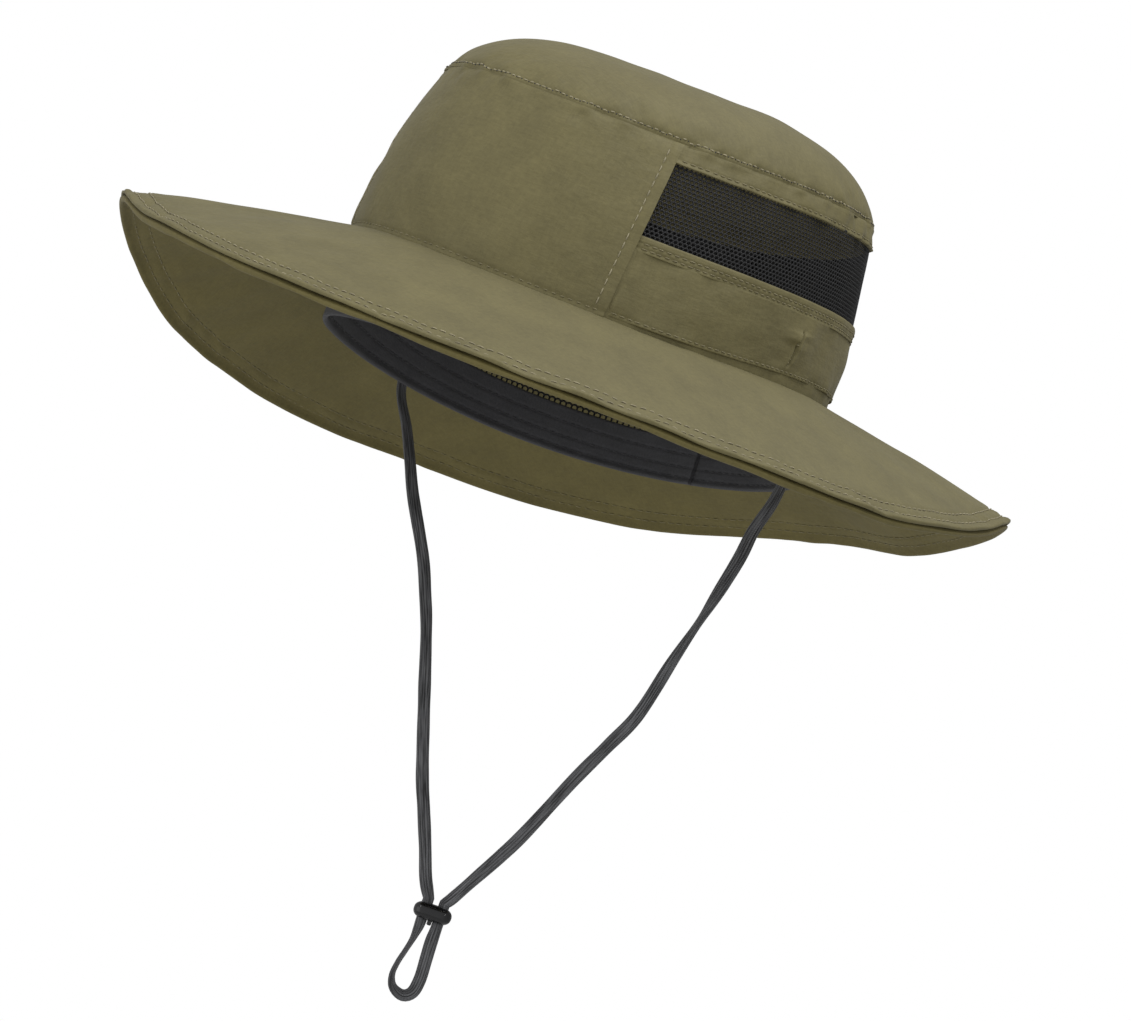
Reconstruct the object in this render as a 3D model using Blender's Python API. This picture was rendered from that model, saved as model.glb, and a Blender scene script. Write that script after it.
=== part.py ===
# Fisherman's bush hat in soft cloth: domed crown with a mesh vent round its sides and back, wide two-ply
# brim, sweatband hung from a strip of net, and a flat chin cord with a cord lock.
# Metres, +Z up. The front faces -Y and the wearer's left is +X. The origin is the middle of the head
# opening, where the crown meets the brim. Angles go round the hat from the front towards +X.

import math

import bmesh
import bpy
from mathutils import Vector

# Head opening: outer oval of the crown wall where it meets the brim
HEAD_HALF_WIDTH = 0.085
HEAD_HALF_LENGTH = 0.101
RIDGE_ANGLE = 135.0
RIDGE_RISE = 0.0034
RIDGE_TILT = 0.0013

# Crown wall and domed tip
WALL_HEIGHT = 0.0677
WALL_TAPER = 0.0092
WALL_BULGE = 2.1
CROWN_LEAN = 0.005
TIP_RISE = 0.0276
TIP_ROUNDNESS = 2.9
TIP_START = 12.0
CLOTH = 0.0012
GAP = 0.0003
SEAM_ANGLE = 46.5
SEAM_LEAN = 5.4

# Vent window, its facing and the band below it, measured up the wall from the brim
MESH = 0.0009
VENT_BOTTOM = 0.465 * WALL_HEIGHT
VENT_HEIGHT = 0.421 * WALL_HEIGHT
FACING_HEIGHT = 0.0055
BAND_CLOTH = 0.0010
BAND_HEM_HEIGHT = 0.0035

# Brim: two plies, each leaving the crown at the slopes below. It is a little wider towards one side.
BRIM_WIDTH = 0.081
BRIM_OFFSET = 0.0028
OFFSET_ANGLE = 310.0
BRIM_BOW = 0.0015
BRIM_PLY = 0.0010

# Sweatband on its strip of net, hanging inside the brim and a little lower on one side
NET = 0.0008
NET_RISE = 0.004
NET_DROP = 0.0155
SWEATBAND = 0.0016
SWEATBAND_HEIGHT = 0.016
SWEATBAND_FLARE = 0.0014
HANG_TILT = 0.0045
HANG_ANGLE = 265.0

# Chin cord and its lock
CORD_DIAMETER = 0.0042
CORD_STEP = 2.3
LOOP_STEP = 1.0
LOCK_WIDTH = 0.0143
LOCK_DEPTH = 0.0086
LOCK_HEIGHT = 0.0070
LOCK_SPACING = 0.0062
LOCK_CLEARANCE = 0.0003

ROUND_STEP = 5.0

BRIM_SLOPES = (
    # angle round the hat, slope of the brim, both in degrees
    (0, 22.6),
    (30, 25.5),
    (60, 26.5),
    (86, 26.8),
    (110, 20.6),
    (130, 13.0),
    (145, 15.6),
    (162, 21.3),
    (180, 23.2),
    (210, 36.0),
    (240, 39.4),
    (268, 40.6),
    (290, 33.3),
    (308, 17.9),
    (322, 11.8),
    (340, 18.3),
)

# Route of the chin cord in metres. It comes down on the wearer's right, goes through the lock and round
# the loop, and goes up again on the left.
RIGHT_LEG = (
    (-0.0868, 0.0108, -0.0095),
    (-0.0872, 0.0108, -0.0220),
    (-0.0873, 0.0108, -0.0335),
    (-0.0852, 0.0110, -0.0405),
    (-0.0785, 0.0117, -0.0505),
    (-0.0716, 0.0124, -0.0628),
    (-0.0651, 0.0131, -0.0747),
    (-0.0522, 0.0144, -0.0945),
    (-0.0456, 0.0151, -0.1074),
    (-0.0396, 0.0157, -0.1203),
    (-0.0304, 0.0166, -0.1442),
    (-0.0200, 0.0177, -0.1710),
    (-0.0141, 0.0184, -0.1836),
    (-0.0081, 0.0190, -0.1962),
    (-0.0028, 0.0185, -0.2063),
)
# The loop lies in the plane of the lock's two passages: across and down from the middle of the lock
LOOP = (
    (-0.0033, -0.0078),
    (-0.0038, -0.0116),
    (-0.0049, -0.0162),
    (-0.0061, -0.0210),
    (-0.0065, -0.0258),
    (-0.0048, -0.0298),
    (-0.0006, -0.0316),
    (0.0026, -0.0294),
    (0.0036, -0.0240),
    (0.0033, -0.0168),
    (0.0030, -0.0100),
)
LEFT_LEG = (
    (0.0100, 0.0218, -0.2100),
    (0.0170, 0.0215, -0.2007),
    (0.0240, 0.0222, -0.1903),
    (0.0307, 0.0229, -0.1792),
    (0.0428, 0.0241, -0.1558),
    (0.0518, 0.0250, -0.1401),
    (0.0595, 0.0258, -0.1260),
    (0.0659, 0.0265, -0.1034),
    (0.0719, 0.0271, -0.0845),
    (0.0776, 0.0277, -0.0634),
    (0.0797, 0.0279, -0.0511),
    (0.0832, 0.0284, -0.0400),
    (0.0846, 0.0285, -0.0310),
    (0.0846, 0.0285, -0.0220),
    (0.0843, 0.0284, -0.0085),
)
LOCK_CENTRE = Vector((0.0045, 0.0202, -0.2178))
LOCK_TURN = 40.0

COLOURS = {
    # name: red, green, blue, roughness, in linear light
    "olive_cloth": (0.105, 0.095, 0.053, 0.85),
    "black_mesh": (0.012, 0.012, 0.013, 0.7),
    "grey_sweatband": (0.022, 0.022, 0.024, 0.9),
    "black_cord": (0.030, 0.030, 0.033, 0.75),
    "gloss_black": (0.006, 0.006, 0.007, 0.2),
}


def material(name):
    found = bpy.data.materials.get(name)
    if found:
        return found
    made = bpy.data.materials.new(name)
    made.use_nodes = True
    red, green, blue, roughness = COLOURS[name]
    surface = made.node_tree.nodes["Principled BSDF"]
    surface.inputs["Base Color"].default_value = (red, green, blue, 1.0)
    surface.inputs["Roughness"].default_value = roughness
    made.diffuse_color = (red, green, blue, 1.0)
    return made


def add_object(name, data, material_name):
    data.materials.append(material(material_name))
    made = bpy.data.objects.new(name, data)
    bpy.context.scene.collection.objects.link(made)
    return made


def direction(angle):
    """The level unit vector out of the head oval at this angle."""
    turn = math.radians(angle)
    out = Vector((math.sin(turn) / HEAD_HALF_WIDTH, -math.cos(turn) / HEAD_HALF_LENGTH, 0))
    return out.normalized()


def junction(angle):
    """A point of the line where the crown meets the brim, a gentle saddle."""
    turn = math.radians(angle)
    ridge = math.radians(angle - RIDGE_ANGLE)
    height = RIDGE_RISE * math.cos(2 * ridge) - RIDGE_TILT * math.cos(ridge)
    return Vector((HEAD_HALF_WIDTH * math.sin(turn), -HEAD_HALF_LENGTH * math.cos(turn), height))


def wall_point(angle, height, depth):
    """A point of the crown wall, at a height above the junction and a depth in from the outer face."""
    share = height / WALL_HEIGHT
    leaning = angle + SEAM_LEAN * math.sin(math.radians(angle)) * share
    bulge = max(share, 0) ** WALL_BULGE
    level = RIDGE_TILT * math.cos(math.radians(leaning - RIDGE_ANGLE)) * share
    shift = Vector((0, CROWN_LEAN * bulge, height + level))
    return junction(leaning) - direction(leaning) * (depth + WALL_TAPER * bulge) + shift


def tip_point(angle, share, depth):
    """A point of the domed tip: share 0 is its seam and share 1 its middle."""
    leaning = angle + SEAM_LEAN * math.sin(math.radians(angle))
    middle = Vector((0, 2 * CROWN_LEAN, WALL_HEIGHT))
    start = math.radians(TIP_START)
    turn = start + share * (math.pi / 2 - start)
    reach = (math.cos(turn) / math.cos(start)) ** (2 / TIP_ROUNDNESS)
    share_up = (math.sin(turn) - math.sin(start)) / (1 - math.sin(start))
    seam = wall_point(angle, WALL_HEIGHT, 0) - direction(leaning) * depth
    rise = Vector((0, 0, GAP + (TIP_RISE - depth) * share_up))
    return middle.lerp(seam, reach) + rise


def brim_slope(angle):
    """The slope of the brim at this angle, in radians, smooth between the rows of its table."""
    angle = angle % 360
    count = len(BRIM_SLOPES)
    rows = [(BRIM_SLOPES[i % count][0] + 360 * (i // count), BRIM_SLOPES[i % count][1])
            for i in range(-2, count + 2)]
    for before, start, end, after in zip(rows, rows[1:], rows[2:], rows[3:]):
        if start[0] <= angle <= end[0]:
            break
    span = end[0] - start[0]
    share = (angle - start[0]) / span
    leave = (end[1] - before[1]) / (end[0] - before[0]) * span
    arrive = (after[1] - start[1]) / (after[0] - start[0]) * span
    square = share * share
    cube = square * share
    slope = (2 * cube - 3 * square + 1) * start[1] + (cube - 2 * square + share) * leave
    slope += (3 * square - 2 * cube) * end[1] + (cube - square) * arrive
    return math.radians(slope)


def brim_point(angle, share, depth):
    """A point of the brim: share 0 is the junction and share 1 the rim, below 0 under the crown wall."""
    slope = brim_slope(angle)
    out = direction(angle)
    up = Vector((0, 0, 1))
    if share < 0:
        return junction(angle) - out * CLOTH - up * depth
    along = out * math.cos(slope) - up * math.sin(slope)
    above = out * math.sin(slope) + up * math.cos(slope)
    width = BRIM_WIDTH + BRIM_OFFSET * math.cos(math.radians(angle - OFFSET_ANGLE))
    bow = 4 * BRIM_BOW * share * (1 - share)
    tangent = along * width + above * 4 * BRIM_BOW * (1 - 2 * share)
    normal = Vector((0, 0, tangent.dot(out))) - out * tangent.z
    normal.normalize()
    if share == 0:
        mitre = (normal + up).normalized()
        normal = mitre / mitre.dot(up)
    return junction(angle) + along * width * share + above * bow - normal * depth


def hanging_point(angle, drop, depth):
    """A point of the net strip and sweatband, at a drop below the junction and a depth in from the wall."""
    share = max(drop, 0) / (NET_DROP + SWEATBAND_HEIGHT)
    inward = CLOTH + GAP + depth - SWEATBAND_FLARE * share
    lower = drop + HANG_TILT * math.cos(math.radians(angle - HANG_ANGLE)) * share
    return junction(angle) - direction(angle) * inward - Vector((0, 0, lower))


def angles_between(start, end):
    """The angles of the shared grid between two angles, with both ends."""
    first = math.floor(start / ROUND_STEP) + 1
    last = math.ceil(end / ROUND_STEP) - 1
    inner = [i * ROUND_STEP for i in range(first, last + 1)]
    inner = [a for a in inner if min(a - start, end - a) > ROUND_STEP / 4]
    return [start] + inner + [end]


def all_angles():
    return [i * ROUND_STEP for i in range(round(360 / ROUND_STEP))]


def strip(mesh, first, second):
    """Two triangles between each pair of neighbours on two rows of points, all split the same way."""
    for a, b, c, d in zip(first, first[1:], second[1:], second):
        mesh.faces.new((a, b, c))
        mesh.faces.new((a, c, d))


def wall_solid(name, material_name, angles, stations, point, thickness, ring):
    """A closed wall over a grid of angles and stations, between depth 0 and its thickness."""
    mesh = bmesh.new()
    skins = []
    for depth in thickness:
        rows = [[mesh.verts.new(point(a, s, depth)) for a in angles] for s in stations]
        skins.append([row + row[:1] if ring else row for row in rows])
    for rows in skins:
        for first, second in zip(rows, rows[1:]):
            strip(mesh, first, second)
    outer, inner = skins
    strip(mesh, outer[0], inner[0])
    strip(mesh, outer[-1], inner[-1])
    if not ring:
        for end in (0, -1):
            strip(mesh, [row[end] for row in outer], [row[end] for row in inner])
    return finish(name, material_name, mesh)


def finish(name, material_name, mesh):
    bmesh.ops.recalc_face_normals(mesh, faces=mesh.faces)
    data = bpy.data.meshes.new(name)
    mesh.to_mesh(data)
    mesh.free()
    data.shade_smooth()
    data.set_sharp_from_angle(angle=math.radians(40))
    return add_object(name, data, material_name)


def crown_tip():
    """The domed tip, a cap closed at its middle on both faces."""
    mesh = bmesh.new()
    shares = (0, 0.13, 0.28, 0.45, 0.65, 0.84)
    skins = []
    for depth in (0, CLOTH):
        rows = [[mesh.verts.new(tip_point(a, s, depth)) for a in all_angles()] for s in shares]
        rows = [row + row[:1] for row in rows]
        for first, second in zip(rows, rows[1:]):
            strip(mesh, first, second)
        middle = mesh.verts.new(tip_point(0, 1, depth))
        for a, b in zip(rows[-1], rows[-1][1:]):
            mesh.faces.new((a, b, middle))
        skins.append(rows)
    strip(mesh, skins[0][0], skins[1][0])
    finish("crown_tip", "olive_cloth", mesh)


def crown_walls():
    """The front panel, and round the sides and back the vent between its strips and the wall below."""
    half_gap = math.degrees(GAP / 2 / (HEAD_HALF_WIDTH - WALL_TAPER))
    front = angles_between(-SEAM_ANGLE + half_gap, SEAM_ANGLE - half_gap)
    sides = angles_between(SEAM_ANGLE + half_gap, 360 - SEAM_ANGLE - half_gap)
    vent_top = VENT_BOTTOM + VENT_HEIGHT
    facing_bottom = VENT_BOTTOM - FACING_HEIGHT
    cloth = (0, CLOTH)
    quarter = WALL_HEIGHT / 4
    rows = (GAP, quarter, 2 * quarter, 3 * quarter, WALL_HEIGHT)
    wall_solid("front_panel", "olive_cloth", front, rows, wall_point, cloth, False)
    rows = (vent_top + GAP, WALL_HEIGHT)
    wall_solid("vent_upper_strip", "olive_cloth", sides, rows, wall_point, cloth, False)
    rows = (VENT_BOTTOM, VENT_BOTTOM + VENT_HEIGHT / 2, vent_top)
    middle = (CLOTH - MESH) / 2
    wall_solid("mesh_window", "black_mesh", sides, rows, wall_point, (middle, middle + MESH), False)
    rows = (facing_bottom + GAP, VENT_BOTTOM - GAP)
    proud = -BAND_CLOTH - GAP
    wall_solid("vent_lower_strip", "olive_cloth", sides, rows, wall_point, (proud, CLOTH), False)
    rows = (GAP, facing_bottom / 2, facing_bottom)
    wall_solid("side_lower", "olive_cloth", sides, rows, wall_point, cloth, False)
    rows = (BAND_HEM_HEIGHT, facing_bottom / 2, facing_bottom)
    wall_solid("hat_band", "olive_cloth", sides, rows, wall_point, (proud, -GAP), False)


def brim():
    """The two plies of the brim, which lie one on the other."""
    shares = (-1, 0, 0.2, 0.45, 0.72, 1)
    upper = (0, BRIM_PLY)
    lower = (BRIM_PLY + GAP, 2 * BRIM_PLY + GAP)
    wall_solid("brim_upper", "olive_cloth", all_angles(), shares, brim_point, upper, True)
    wall_solid("brim_lower", "olive_cloth", all_angles(), shares, brim_point, lower, True)


def sweatband():
    """The sweatband and the strip of net that it hangs from."""
    rows = (-NET_RISE, 0, NET_DROP - GAP)
    wall_solid("mesh_lining", "black_mesh", all_angles(), rows, hanging_point, (0, NET), True)
    rows = (NET_DROP, NET_DROP + SWEATBAND_HEIGHT)
    wall_solid("sweatband", "grey_sweatband", all_angles(), rows, hanging_point, (0, SWEATBAND), True)


def smooth_route(points, step):
    """Points at an even step along a smooth curve through the route's own points."""
    fine = []
    padded = [2 * points[0] - points[1]] + points + [2 * points[-1] - points[-2]]
    for before, start, end, after in zip(padded, padded[1:], padded[2:], padded[3:]):
        for i in range(16):
            s = i / 16
            curve = 2 * start + (end - before) * s
            curve += (2 * before - 5 * start + 4 * end - after) * s * s
            curve += (3 * start - before - 3 * end + after) * s ** 3
            fine.append(curve / 2)
    fine.append(points[-1])
    lengths = [0.0]
    for first, second in zip(fine, fine[1:]):
        lengths.append(lengths[-1] + (second - first).length)
    count = max(1, round(lengths[-1] / step))
    even = []
    i = 0
    for k in range(count + 1):
        wanted = lengths[-1] * k / count
        while i < len(fine) - 2 and lengths[i + 1] < wanted:
            i += 1
        share = (wanted - lengths[i]) / (lengths[i + 1] - lengths[i])
        even.append(fine[i].lerp(fine[i + 1], share))
    return even


def lock_axis():
    """The level direction from the lock's first passage to its second."""
    turn = math.radians(LOCK_TURN)
    return Vector((math.cos(turn), math.sin(turn), 0))


def chin_cord():
    """The cord: one whole length, with a close step round its loop."""
    across = lock_axis()
    side = across * LOCK_SPACING / 2
    above = LOCK_CENTRE + Vector((0, 0, LOCK_HEIGHT / 2 + CORD_DIAMETER / 4))
    below = LOCK_CENTRE - Vector((0, 0, LOCK_HEIGHT / 2 + CORD_DIAMETER / 4))
    right = [Vector(p) for p in RIGHT_LEG] + [above - side]
    loop = [LOCK_CENTRE + across * a + Vector((0, 0, down)) for a, down in LOOP]
    loop = [above - side, below - side] + loop + [below + side, above + side]
    left = [above + side] + [Vector(p) for p in LEFT_LEG]
    route = smooth_route(right, CORD_STEP * CORD_DIAMETER)
    route += smooth_route(loop, LOOP_STEP * CORD_DIAMETER)[1:]
    route += smooth_route(left, CORD_STEP * CORD_DIAMETER)[1:]
    data = bpy.data.curves.new("chin_cord", "CURVE")
    data.dimensions = "3D"
    data.bevel_depth = CORD_DIAMETER / 2
    data.bevel_resolution = 2
    data.use_fill_caps = True
    line = data.splines.new("POLY")
    line.points.add(len(route) - 1)
    for place, point in zip(line.points, route):
        place.co = (*point, 1)
    line.use_smooth = True
    add_object("chin_cord", data, "black_cord")


def cord_lock():
    """The rounded bead of the lock, with a passage for each run of the cord."""
    mesh = bmesh.new()
    bmesh.ops.create_uvsphere(mesh, u_segments=20, v_segments=12, radius=1)
    half = Vector((LOCK_WIDTH, LOCK_DEPTH, LOCK_HEIGHT)) / 2
    for vert in mesh.verts:
        # A power under 1 squares the ball off towards a barrel.
        vert.co = Vector(math.copysign(abs(c) ** 0.62, c) * h for c, h in zip(vert.co, half))
    lock = finish("cord_lock", "gloss_black", mesh)
    lock.location = LOCK_CENTRE
    lock.rotation_euler.z = math.radians(LOCK_TURN)
    for number, side in enumerate((-1, 1)):
        cutter = bmesh.new()
        bmesh.ops.create_cone(
            cutter,
            cap_ends=True,
            segments=16,
            radius1=CORD_DIAMETER / 2 + LOCK_CLEARANCE,
            radius2=CORD_DIAMETER / 2 + LOCK_CLEARANCE,
            depth=2 * LOCK_HEIGHT,
        )
        passage = finish(f"passage_{number}", "gloss_black", cutter)
        passage.location = LOCK_CENTRE + lock_axis() * side * LOCK_SPACING / 2
        passage.hide_render = True
        passage.display_type = "WIRE"
        cut = lock.modifiers.new(f"passage_{number}", "BOOLEAN")
        cut.operation = "DIFFERENCE"
        cut.solver = "EXACT"
        cut.object = passage


def main():
    for old in list(bpy.data.objects):
        bpy.data.objects.remove(old)
    crown_tip()
    crown_walls()
    brim()
    sweatband()
    chin_cord()
    cord_lock()


main()
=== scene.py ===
import math

import bmesh
import bpy
import numpy as np
from mathutils import Matrix, Vector


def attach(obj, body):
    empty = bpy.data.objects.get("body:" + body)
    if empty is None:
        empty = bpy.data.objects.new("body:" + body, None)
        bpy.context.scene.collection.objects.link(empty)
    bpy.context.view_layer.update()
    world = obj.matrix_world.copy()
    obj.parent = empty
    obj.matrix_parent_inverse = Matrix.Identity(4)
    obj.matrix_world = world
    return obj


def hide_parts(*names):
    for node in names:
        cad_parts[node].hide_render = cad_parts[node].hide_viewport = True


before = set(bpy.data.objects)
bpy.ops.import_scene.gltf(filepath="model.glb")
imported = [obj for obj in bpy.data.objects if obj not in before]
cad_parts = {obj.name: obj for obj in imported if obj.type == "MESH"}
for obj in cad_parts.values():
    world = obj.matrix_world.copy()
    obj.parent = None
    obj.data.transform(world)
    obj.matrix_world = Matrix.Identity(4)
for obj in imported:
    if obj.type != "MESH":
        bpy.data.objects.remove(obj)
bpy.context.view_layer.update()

# The hat's own sizes in metres, as in its source. The front faces -Y, the wearer's left is +X, and angles
# go round the hat from the front towards +X.
HEAD_HALF_WIDTH = 0.085
HEAD_HALF_LENGTH = 0.101
RIDGE_ANGLE = 135.0
RIDGE_RISE = 0.0034
RIDGE_TILT = 0.0013
WALL_HEIGHT = 0.0677
WALL_TAPER = 0.0092
WALL_BULGE = 2.1
CROWN_LEAN = 0.005
TIP_RISE = 0.0276
TIP_ROUNDNESS = 2.9
TIP_START = 12.0
CLOTH = 0.0012
GAP = 0.0003
SEAM_ANGLE = 46.5
SEAM_LEAN = 5.4
VENT_BOTTOM = 0.465 * WALL_HEIGHT
VENT_HEIGHT = 0.421 * WALL_HEIGHT
VENT_TOP = VENT_BOTTOM + VENT_HEIGHT
FACING_HEIGHT = 0.0055
SIDE_TOP = VENT_BOTTOM - FACING_HEIGHT
BRIM_WIDTH = 0.081
BRIM_OFFSET = 0.0028
OFFSET_ANGLE = 310.0
BRIM_BOW = 0.0015
BRIM_PLY = 0.0010
NET = 0.0008
NET_RISE = 0.004
NET_DROP = 0.0155
SWEATBAND = 0.0016
SWEATBAND_HEIGHT = 0.016
SWEATBAND_FLARE = 0.0014
HANG_TILT = 0.0045
HANG_ANGLE = 265.0
CORD_DIAMETER = 0.0042
LOCK_WIDTH = 0.0143
LOCK_DEPTH = 0.0086
LOCK_HEIGHT = 0.0070
LOCK_SPACING = 0.0062
BRIM_SLOPES = ((0, 22.6), (30, 25.5), (60, 26.5), (86, 26.8), (110, 20.6), (130, 13.0), (145, 15.6),
               (162, 21.3), (180, 23.2), (210, 36.0), (240, 39.4), (268, 40.6), (290, 33.3), (308, 17.9),
               (322, 11.8), (340, 18.3))
RIGHT_LEG = (
    (-0.0868, 0.0108, -0.0095), (-0.0872, 0.0108, -0.0220), (-0.0873, 0.0108, -0.0335),
    (-0.0852, 0.0110, -0.0405), (-0.0785, 0.0117, -0.0505), (-0.0716, 0.0124, -0.0628),
    (-0.0651, 0.0131, -0.0747), (-0.0522, 0.0144, -0.0945), (-0.0456, 0.0151, -0.1074),
    (-0.0396, 0.0157, -0.1203), (-0.0304, 0.0166, -0.1442), (-0.0200, 0.0177, -0.1710),
    (-0.0141, 0.0184, -0.1836), (-0.0081, 0.0190, -0.1962), (-0.0028, 0.0185, -0.2063),
)
LOOP = (
    (-0.0033, -0.0078), (-0.0038, -0.0116), (-0.0049, -0.0162), (-0.0061, -0.0210), (-0.0065, -0.0258),
    (-0.0048, -0.0298), (-0.0006, -0.0316), (0.0026, -0.0294), (0.0036, -0.0240), (0.0033, -0.0168),
    (0.0030, -0.0100),
)
LEFT_LEG = (
    (0.0100, 0.0218, -0.2100), (0.0170, 0.0215, -0.2007), (0.0240, 0.0222, -0.1903),
    (0.0307, 0.0229, -0.1792), (0.0428, 0.0241, -0.1558), (0.0518, 0.0250, -0.1401),
    (0.0595, 0.0258, -0.1260), (0.0659, 0.0265, -0.1034), (0.0719, 0.0271, -0.0845),
    (0.0776, 0.0277, -0.0634), (0.0797, 0.0279, -0.0511), (0.0832, 0.0284, -0.0400),
    (0.0846, 0.0285, -0.0310), (0.0846, 0.0285, -0.0220), (0.0843, 0.0284, -0.0085),
)
LOCK_CENTRE = np.array((0.0045, 0.0202, -0.2178))
LOCK_TURN = 40.0

WALL_DEGREE = 0.00160     # metres round the crown wall for each degree, on average

# Colours
CLOTH_COLOUR = (0.158, 0.138, 0.062)
# The brim's underside is the same olive cloth as its top: this darker, yellower colour is painted shade and
# olive-tinted bounce light under the brim.
UNDER_PAINTED_SHADE_COLOUR = (0.139, 0.116, 0.039)
THREAD_COLOUR = (0.31, 0.275, 0.170)
NET_COLOUR = (0.014, 0.014, 0.015)
SWEATBAND_COLOUR = (0.061, 0.061, 0.065)
CORD_COLOUR = (0.086, 0.087, 0.092)
LOCK_COLOUR = (0.006, 0.006, 0.007)
# Dark thread for the sweatband's stitches, also used as painted shade in the needle's holes of the crown's
# top seam.
DARK_THREAD_AND_HOLE_SHADE_COLOUR = (0.030, 0.030, 0.033)
OLIVE_THREAD_COLOUR = (0.215, 0.188, 0.098)

# The photograph's camera, with its focal length in pixels of the photo
CAMERA_TURN = 40.0
CAMERA_RISE = -6.0
CAMERA_ROLL = 19.33
CAMERA_DISTANCE = 1.7
FOCAL = 4673.6
PHOTO_WIDTH = 1131
ORIGIN_RIGHT, ORIGIN_UP = 23.1, 179.2     # where the hat's origin stands from the middle of the photo


def linked(name, data):
    made = bpy.data.objects.new(name, data)
    bpy.context.scene.collection.objects.link(made)
    return made


def look_at_hat():
    """The photograph's camera: low, on the wearer's front left, rolled so that the hat leans."""
    turn, rise, roll = (math.radians(x) for x in (CAMERA_TURN, CAMERA_RISE, CAMERA_ROLL))
    back = Vector((math.sin(turn) * math.cos(rise), -math.cos(turn) * math.cos(rise), math.sin(rise)))
    right = Vector((math.cos(turn), math.sin(turn), 0))
    up = back.cross(right)
    across = right * math.cos(roll) + up * math.sin(roll)
    upward = up * math.cos(roll) - right * math.sin(roll)
    # The hat's origin stands above and right of the middle of the frame, so the camera turns down to suit.
    aim = (across * -ORIGIN_RIGHT - upward * ORIGIN_UP - back * FOCAL).normalized()
    side = aim.cross(upward).normalized()
    upright = side.cross(aim)
    camera = linked("camera", bpy.data.cameras.new("camera"))
    camera.data.sensor_width = 36
    camera.data.lens = camera.data.sensor_width * FOCAL / PHOTO_WIDTH
    camera.data.clip_end = 50
    place = Matrix((side, upright, -aim)).transposed().to_4x4()
    place.translation = back * CAMERA_DISTANCE
    camera.matrix_world = place
    bpy.context.scene.camera = camera


def light_up():
    world = bpy.context.scene.world or bpy.data.worlds.new("studio")
    bpy.context.scene.world = world
    world.use_nodes = True
    tree = world.node_tree
    tree.nodes.clear()
    output, mixed, seen, lit, path, where, facing, ranged = (tree.nodes.new(kind) for kind in (
        "ShaderNodeOutputWorld", "ShaderNodeMixShader", "ShaderNodeBackground", "ShaderNodeBackground",
        "ShaderNodeLightPath", "ShaderNodeTexCoord", "ShaderNodeVectorMath", "ShaderNodeMapRange"))
    seen.inputs["Strength"].default_value = 1.0
    seen.inputs["Color"].default_value = (1, 1, 1, 1)
    lit.inputs["Color"].default_value = (1, 1, 1, 1)
    # A little more light comes from the front left than from the back right.
    facing.operation = "DOT_PRODUCT"
    facing.inputs[1].default_value = (0.08, -0.96, -0.26)
    ranged.inputs["From Min"].default_value = -1
    ranged.inputs["To Min"].default_value = 0.26
    ranged.inputs["To Max"].default_value = 0.81
    for start, end in (
        (where.outputs["Generated"], facing.inputs[0]),
        (facing.outputs["Value"], ranged.inputs["Value"]),
        (ranged.outputs["Result"], lit.inputs["Strength"]),
        (path.outputs["Is Camera Ray"], mixed.inputs[0]),
        (lit.outputs[0], mixed.inputs[1]),
        (seen.outputs[0], mixed.inputs[2]),
        (mixed.outputs[0], output.inputs[0]),
    ):
        tree.links.new(start, end)
    for name, place, size, power in (
        ("key", (0.62, 0.15, 2.35), 1.6, 38),
        ("fill", (-0.9, -1.8, -0.5), 1.4, 4.2),
        ("glint_left", (-0.5, -1.8, 0.7), 0.22, 2.8),
        ("glint_right", (2.0, -0.5, 0.6), 0.22, 2.8),
    ):
        lamp = bpy.data.lights.new(name, "AREA")
        lamp.size = size
        lamp.energy = power
        made = linked(name, lamp)
        made.location = place
        made.rotation_euler = (-Vector(place)).to_track_quat("-Z", "Y").to_euler()
    half, level = 2.2, -1.7
    data = bpy.data.meshes.new("floor")
    corners = [(x * half, y * half, level) for x, y in ((-1, -1), (1, -1), (1, 1), (-1, 1))]
    data.from_pydata(corners, [], [(0, 1, 2, 3)])
    pale = bpy.data.materials.new("pale_floor")
    pale.use_nodes = True
    shader = pale.node_tree.nodes["Principled BSDF"]
    shader.inputs["Base Color"].default_value = (0.80, 0.80, 0.79, 1)
    shader.inputs["Roughness"].default_value = 0.9
    data.materials.append(pale)
    linked("floor", data)
    bpy.context.scene.view_settings.view_transform = "Standard"


# The hat's surfaces. They take and give arrays of points, and depth goes into the cloth from its outer face.

def unit(vectors):
    return vectors / np.linalg.norm(vectors, axis=-1, keepdims=True)


def run_along(points):
    """Metres from the first point of a line to each of its points."""
    return np.r_[0, np.cumsum(np.linalg.norm(np.diff(points, axis=0), axis=-1))]


def direction(angle):
    turn = np.radians(angle)
    return unit(np.stack([np.sin(turn) / HEAD_HALF_WIDTH, -np.cos(turn) / HEAD_HALF_LENGTH, 0 * turn], -1))


def junction(angle):
    turn = np.radians(angle)
    ridge = np.radians(angle - RIDGE_ANGLE)
    height = RIDGE_RISE * np.cos(2 * ridge) - RIDGE_TILT * np.cos(ridge)
    return np.stack([HEAD_HALF_WIDTH * np.sin(turn), -HEAD_HALF_LENGTH * np.cos(turn), height], -1)


def wall_point(angle, height, depth):
    angle, height, depth = np.broadcast_arrays(angle, height, depth)
    share = height / WALL_HEIGHT
    leaning = angle + SEAM_LEAN * np.sin(np.radians(angle)) * share
    bulge = np.maximum(share, 0) ** WALL_BULGE
    level = RIDGE_TILT * np.cos(np.radians(leaning - RIDGE_ANGLE)) * share
    point = junction(leaning) - direction(leaning) * (depth + WALL_TAPER * bulge)[..., None]
    point[..., 1] += CROWN_LEAN * bulge
    point[..., 2] += height + level
    return point


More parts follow.
